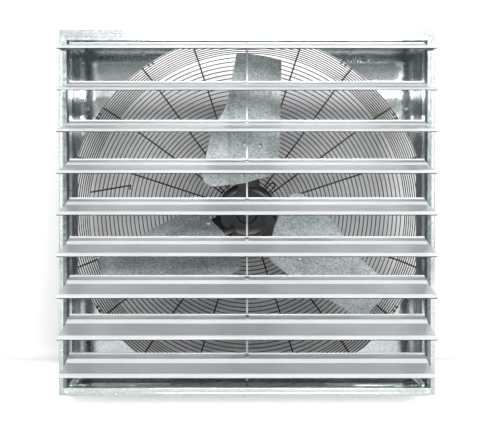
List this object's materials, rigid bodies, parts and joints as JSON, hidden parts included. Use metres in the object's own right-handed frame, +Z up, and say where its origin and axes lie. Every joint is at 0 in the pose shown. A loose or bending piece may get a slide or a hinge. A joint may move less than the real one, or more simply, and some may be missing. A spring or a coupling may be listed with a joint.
{
  "type": "shutter exhaust fan",
  "caption": "Square wall exhaust fan with a louvred gravity shutter on its outlet, a direct-drive propeller inside and a wire guard that carries the motor on its inlet.",
  "frame": {"origin": "centre of the wall bolt pattern, on the fan's axis, in the plane where the wall flange bears on the wall", "axes": "-Y points out of the louvred outlet, +Z is up"},
  "size_m": [1.118, 0.419, 1.089],
  "materials": {
    "galvanised": "spangled galvanised sheet",
    "blade_galvanised": "spangled galvanised sheet",
    "aluminium": "mill-finish extrusion",
    "zinc": "zinc plated",
    "guard_black": "satin black coating",
    "motor_black": "semi-gloss black paint",
    "core_steel": "dull laminations",
    "bright_steel": "ground",
    "nylon": "natural nylon"
  },
  "bodies": {
    "housing": {"housing_top": "galvanised", "housing_bottom": "galvanised", "housing_left": "galvanised", "housing_right": "galvanised", "back_panel": "galvanised", "panel_collar": "galvanised", "housing_rivets": "zinc", "shutter_head": "galvanised", "shutter_sill": "galvanised", "shutter_jamb_left": "galvanised", "shutter_jamb_right": "galvanised", "shutter_screws": "zinc", "jamb_bushes": "nylon", "guard_face_rings": "guard_black", "guard_skirt_rings": "guard_black", "guard_rods": "guard_black", "guard_feet": "guard_black", "guard_screws": "zinc", "guard_stay": "guard_black", "motor_mount": "guard_black", "mount_bolts": "zinc", "motor_shell": "motor_black", "front_end_bell": "motor_black", "rear_end_bell": "motor_black", "stator": "core_steel", "front_bearing": "bright_steel", "rear_bearing": "bright_steel", "capacitor_box": "motor_black", "terminal_box": "motor_black", "terminal_cover": "motor_black"},
    "rotor": {"motor_shaft": "bright_steel", "rotor_core": "core_steel", "hub_spider": "motor_black", "hub_set_screws": "bright_steel", "blade_1": "blade_galvanised", "blade_2": "blade_galvanised", "blade_3": "blade_galvanised", "blade_rivets": "zinc"},
    "louvre_1": {"louvre_1": "aluminium", "louvre_pins_1": "zinc"},
    "louvre_2": {"louvre_2": "aluminium", "louvre_pins_2": "zinc"},
    "louvre_3": {"louvre_3": "aluminium", "louvre_pins_3": "zinc"},
    "louvre_4": {"louvre_4": "aluminium", "louvre_pins_4": "zinc"},
    "louvre_5": {"louvre_5": "aluminium", "louvre_pins_5": "zinc"},
    "louvre_6": {"louvre_6": "aluminium", "louvre_pins_6": "zinc"},
    "louvre_7": {"louvre_7": "aluminium", "louvre_pins_7": "zinc"},
    "louvre_8": {"louvre_8": "aluminium", "louvre_pins_8": "zinc"},
    "louvre_9": {"louvre_9": "aluminium", "louvre_pins_9": "zinc"},
    "tie": {"tie_bar": "aluminium", "tie_bar_pins": "zinc"}
  },
  "joints": [
    {"name": "fan_spin", "type": "hinge", "parent": "housing", "child": "rotor", "pos_m": [0, 0, 0], "axis": [0, 1, 0], "continuous": true},
    {"name": "louvre_1_tilt", "type": "hinge", "parent": "housing", "child": "louvre_1", "pos_m": [0, -0.142, 0.4581], "axis": [1, 0, 0], "range_deg": [-12, 68]},
    {"name": "louvre_2_tilt", "type": "hinge", "parent": "housing", "child": "louvre_2", "pos_m": [0, -0.142, 0.3519], "axis": [1, 0, 0], "range_deg": [-12, 68]},
    {"name": "louvre_3_tilt", "type": "hinge", "parent": "housing", "child": "louvre_3", "pos_m": [0, -0.142, 0.2457], "axis": [1, 0, 0], "range_deg": [-12, 68]},
    {"name": "louvre_4_tilt", "type": "hinge", "parent": "housing", "child": "louvre_4", "pos_m": [0, -0.142, 0.1395], "axis": [1, 0, 0], "range_deg": [-12, 68]},
    {"name": "louvre_5_tilt", "type": "hinge", "parent": "housing", "child": "louvre_5", "pos_m": [0, -0.142, 0.0333], "axis": [1, 0, 0], "range_deg": [-12, 68]},
    {"name": "louvre_6_tilt", "type": "hinge", "parent": "housing", "child": "louvre_6", "pos_m": [0, -0.142, -0.0729], "axis": [1, 0, 0], "range_deg": [-12, 68]},
    {"name": "louvre_7_tilt", "type": "hinge", "parent": "housing", "child": "louvre_7", "pos_m": [0, -0.142, -0.1791], "axis": [1, 0, 0], "range_deg": [-12, 68]},
    {"name": "louvre_8_tilt", "type": "hinge", "parent": "housing", "child": "louvre_8", "pos_m": [0, -0.142, -0.2853], "axis": [1, 0, 0], "range_deg": [-12, 68]},
    {"name": "louvre_9_tilt", "type": "hinge", "parent": "housing", "child": "louvre_9", "pos_m": [0, -0.142, -0.3915], "axis": [1, 0, 0], "range_deg": [-12, 68]},
    {"name": "tie_bar_swing", "type": "hinge", "parent": "louvre_1", "child": "tie", "pos_m": [0, -0.12187, 0.46442], "axis": [1, 0, 0], "range_deg": [-68, 12]}
  ],
  "couplings": [
    {"joint": "louvre_2_tilt", "follows": "louvre_1_tilt", "ratio": 1},
    {"joint": "louvre_3_tilt", "follows": "louvre_1_tilt", "ratio": 1},
    {"joint": "louvre_4_tilt", "follows": "louvre_1_tilt", "ratio": 1},
    {"joint": "louvre_5_tilt", "follows": "louvre_1_tilt", "ratio": 1},
    {"joint": "louvre_6_tilt", "follows": "louvre_1_tilt", "ratio": 1},
    {"joint": "louvre_7_tilt", "follows": "louvre_1_tilt", "ratio": 1},
    {"joint": "louvre_8_tilt", "follows": "louvre_1_tilt", "ratio": 1},
    {"joint": "louvre_9_tilt", "follows": "louvre_1_tilt", "ratio": 1},
    {"joint": "tie_bar_swing", "follows": "louvre_1_tilt", "ratio": -1}
  ]
}
